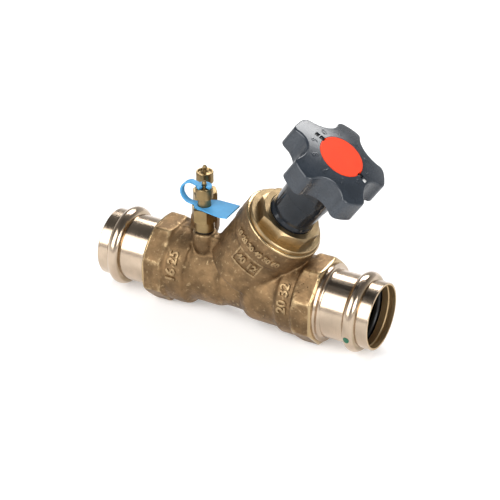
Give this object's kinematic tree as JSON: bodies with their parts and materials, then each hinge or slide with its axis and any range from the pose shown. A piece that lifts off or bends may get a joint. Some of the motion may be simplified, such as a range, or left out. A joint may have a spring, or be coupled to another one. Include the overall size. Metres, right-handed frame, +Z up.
{
  "type": "circuit balancing valve",
  "caption": "Y-pattern circuit balancing valve in bronze with press ends, a lobed preset handwheel on a slanted bonnet, and capped pressure test ports with a marking tag.",
  "frame": {"origin": "centre of the inlet mouth, on the run's axis", "axes": "+X along the run from inlet to outlet, +Z up in the plane of the slanted bonnet, +Y to the back"},
  "size_m": [0.198, 0.0671, 0.1505],
  "materials": {
    "cast_bronze": "sand-cast bronze, fine grain, slightly browned",
    "machined_bronze": "turned bronze, light tool marks",
    "polished_bronze": "bright drawn and turned bronze",
    "machined_brass": "turned brass",
    "seal_rubber": "black moulded rubber",
    "grey_plastic": "dark grey moulded plastic, satin gloss",
    "red_plastic": "red moulded plastic, satin",
    "blue_plastic": "light blue soft plastic",
    "dial_plastic": "white moulded plastic, black marks",
    "clip_steel": "spring steel"
  },
  "bodies": {
    "valve": {"valve_body": "cast_bronze", "inlet_press_end": "polished_bronze", "outlet_press_end": "polished_bronze", "inlet_seal_ring": "seal_rubber", "outlet_seal_ring": "seal_rubber", "bonnet": "machined_bronze", "bonnet_seal_ring": "seal_rubber", "stem_retainer": "machined_brass", "position_sleeve": "grey_plastic", "indicator_dial": "dial_plastic", "measuring_tag": "blue_plastic", "front_port_body": "machined_brass", "front_port_washer": "seal_rubber", "front_port_core": "seal_rubber", "front_port_gland": "machined_brass", "rear_port_body": "machined_brass", "rear_port_washer": "seal_rubber", "rear_port_core": "seal_rubber", "rear_port_gland": "machined_brass"},
    "spindle": {"stem": "machined_brass", "stem_o_ring_lower": "seal_rubber", "stem_o_ring_upper": "seal_rubber", "handwheel_hub": "grey_plastic", "handwheel": "grey_plastic", "handwheel_clip": "clip_steel", "handwheel_cap": "red_plastic"},
    "plug": {"plug_carrier": "machined_brass", "throttle_plug": "machined_brass", "plug_seal": "seal_rubber", "plug_clip": "clip_steel"},
    "turns_counter": {"turns_ring": "dial_plastic"},
    "stop_carriage": {"memory_stop_seal": "seal_rubber"},
    "stop_screw": {"memory_stop_screw": "machined_brass"},
    "front_cap_carriage": {"front_cap_seal": "seal_rubber"},
    "front_cap_shell": {"front_cap": "machined_brass"},
    "rear_cap_carriage": {"rear_cap_seal": "seal_rubber"},
    "rear_cap_shell": {"rear_cap": "machined_brass"}
  },
  "joints": [
    {"name": "handwheel_turn", "type": "hinge", "parent": "valve", "child": "spindle", "pos_m": [0.0945, 0, 0], "axis": [0.5592, 0, 0.829], "range_deg": [0, 1800]},
    {"name": "plug_lift", "type": "slide", "parent": "valve", "child": "plug", "axis": [0.5592, 0, 0.829], "range_m": [-0.00001, 0.00801]},
    {"name": "turns_ring_turn", "type": "hinge", "parent": "spindle", "child": "turns_counter", "pos_m": [0.0945, 0, 0], "axis": [0.5592, 0, 0.829], "range_deg": [-180.5, 0.5]},
    {"name": "memory_stop_travel", "type": "slide", "parent": "spindle", "child": "stop_carriage", "axis": [0.5592, 0, 0.829], "range_m": [-0.008, 0]},
    {"name": "memory_stop_turn", "type": "hinge", "parent": "stop_carriage", "child": "stop_screw", "pos_m": [0.0945, 0, 0], "axis": [0.5592, 0, 0.829], "range_deg": [-2884, 4]},
    {"name": "front_cap_lift", "type": "slide", "parent": "valve", "child": "front_cap_carriage", "axis": [0, 0, 1], "range_m": [-0.00001, 0.00501], "deforming": ["measuring_tag"]},
    {"name": "front_cap_turn", "type": "hinge", "parent": "front_cap_carriage", "child": "front_cap_shell", "pos_m": [0.0745, -0.0085, 0.0335], "axis": [0, 0, 1], "range_deg": [0, 1800]},
    {"name": "rear_cap_lift", "type": "slide", "parent": "valve", "child": "rear_cap_carriage", "axis": [0, 0, 1], "range_m": [-0.00001, 0.00501]},
    {"name": "rear_cap_turn", "type": "hinge", "parent": "rear_cap_carriage", "child": "rear_cap_shell", "pos_m": [0.0653, 0.0085, 0.0343], "axis": [0, 0, 1], "range_deg": [0, 1800]}
  ],
  "couplings": [
    {"joint": "plug_lift", "follows": "handwheel_turn", "m_per_rad": 0.00025465},
    {"joint": "turns_ring_turn", "follows": "handwheel_turn", "ratio": -0.1},
    {"joint": "memory_stop_turn", "follows": "memory_stop_travel", "rad_per_m": 6283.2},
    {"joint": "front_cap_lift", "follows": "front_cap_turn", "m_per_rad": 0.00015915},
    {"joint": "rear_cap_lift", "follows": "rear_cap_turn", "m_per_rad": 0.00015915}
  ]
}
